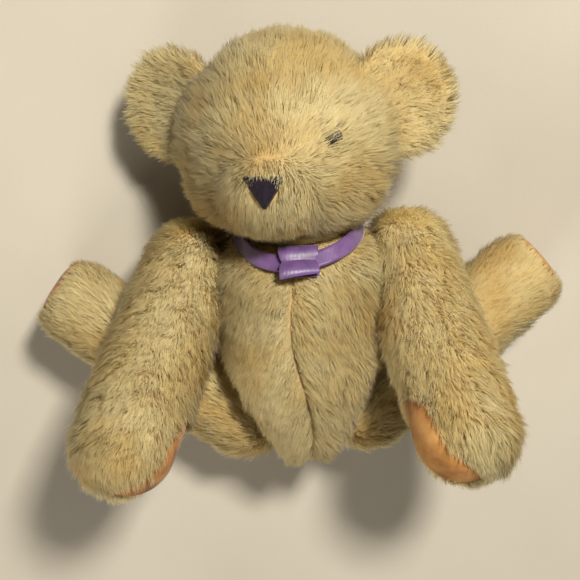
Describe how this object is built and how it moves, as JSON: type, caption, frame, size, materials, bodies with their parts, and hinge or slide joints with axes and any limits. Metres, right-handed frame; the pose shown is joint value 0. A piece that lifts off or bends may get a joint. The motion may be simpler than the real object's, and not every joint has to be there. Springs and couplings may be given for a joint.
{
  "type": "jointed teddy bear",
  "caption": "Plush teddy bear with a turning head and disc-jointed arms and legs, suede pads and a satin neck ribbon, lying on its back.",
  "frame": {"origin": "on the flat back of the torso, where it rests, under the middle of the belly", "axes": "+X to the bear's left, +Y to the top of the head, +Z out of the chest"},
  "size_m": [0.3286, 0.268, 0.1583],
  "materials": {
    "plush": "long soft pile, about 10 mm, honey cream",
    "stuffing": "loose polyester fibre",
    "suede": "napped suede, matt",
    "joint_plastic": "moulded, satin",
    "nose_felt": "dense short nap, matt",
    "eye": "polished dome",
    "satin": "woven satin ribbon with a soft sheen"
  },
  "bodies": {
    "torso": {"body_cover": "plush", "body_stuffing": "stuffing", "neck_washer": "joint_plastic", "left_shoulder_washer": "joint_plastic", "right_shoulder_washer": "joint_plastic", "left_hip_washer": "joint_plastic", "right_hip_washer": "joint_plastic", "ribbon_band": "satin", "ribbon_knot": "satin"},
    "head": {"head_cover": "plush", "head_stuffing": "stuffing", "left_ear": "plush", "right_ear": "plush", "nose": "nose_felt", "left_eye": "eye", "right_eye": "eye", "left_eye_washer": "joint_plastic", "right_eye_washer": "joint_plastic", "neck_disc": "joint_plastic", "neck_lock": "joint_plastic"},
    "left_arm": {"left_arm_cover": "plush", "left_arm_stuffing": "stuffing", "left_paw_pad": "suede", "left_shoulder_disc": "joint_plastic", "left_shoulder_lock": "joint_plastic"},
    "left_leg": {"left_leg_cover": "plush", "left_leg_stuffing": "stuffing", "left_foot_pad": "suede", "left_hip_disc": "joint_plastic", "left_hip_lock": "joint_plastic"},
    "right_arm": {"right_arm_cover": "plush", "right_arm_stuffing": "stuffing", "right_paw_pad": "suede", "right_shoulder_disc": "joint_plastic", "right_shoulder_lock": "joint_plastic"},
    "right_leg": {"right_leg_cover": "plush", "right_leg_stuffing": "stuffing", "right_foot_pad": "suede", "right_hip_disc": "joint_plastic", "right_hip_lock": "joint_plastic"}
  },
  "joints": [
    {"name": "neck_turn", "type": "hinge", "parent": "torso", "child": "head", "pos_m": [0, 0.05, 0.05], "axis": [0, 1, 0], "continuous": true},
    {"name": "left_shoulder_turn", "type": "hinge", "parent": "torso", "child": "left_arm", "pos_m": [0.048, 0.03, 0.05], "axis": [-1, 0, 0], "range_deg": [0, 95]},
    {"name": "right_shoulder_turn", "type": "hinge", "parent": "torso", "child": "right_arm", "pos_m": [-0.048, 0.03, 0.05], "axis": [-1, 0, 0], "range_deg": [0, 95]},
    {"name": "left_hip_turn", "type": "hinge", "parent": "torso", "child": "left_leg", "pos_m": [0.0244, -0.0653, 0.038], "axis": [-0.9026, 0.4305, 0], "range_deg": [0, 250]},
    {"name": "right_hip_turn", "type": "hinge", "parent": "torso", "child": "right_leg", "pos_m": [-0.0244, -0.0653, 0.038], "axis": [-0.9026, -0.4305, 0], "range_deg": [0, 250]}
  ]
}
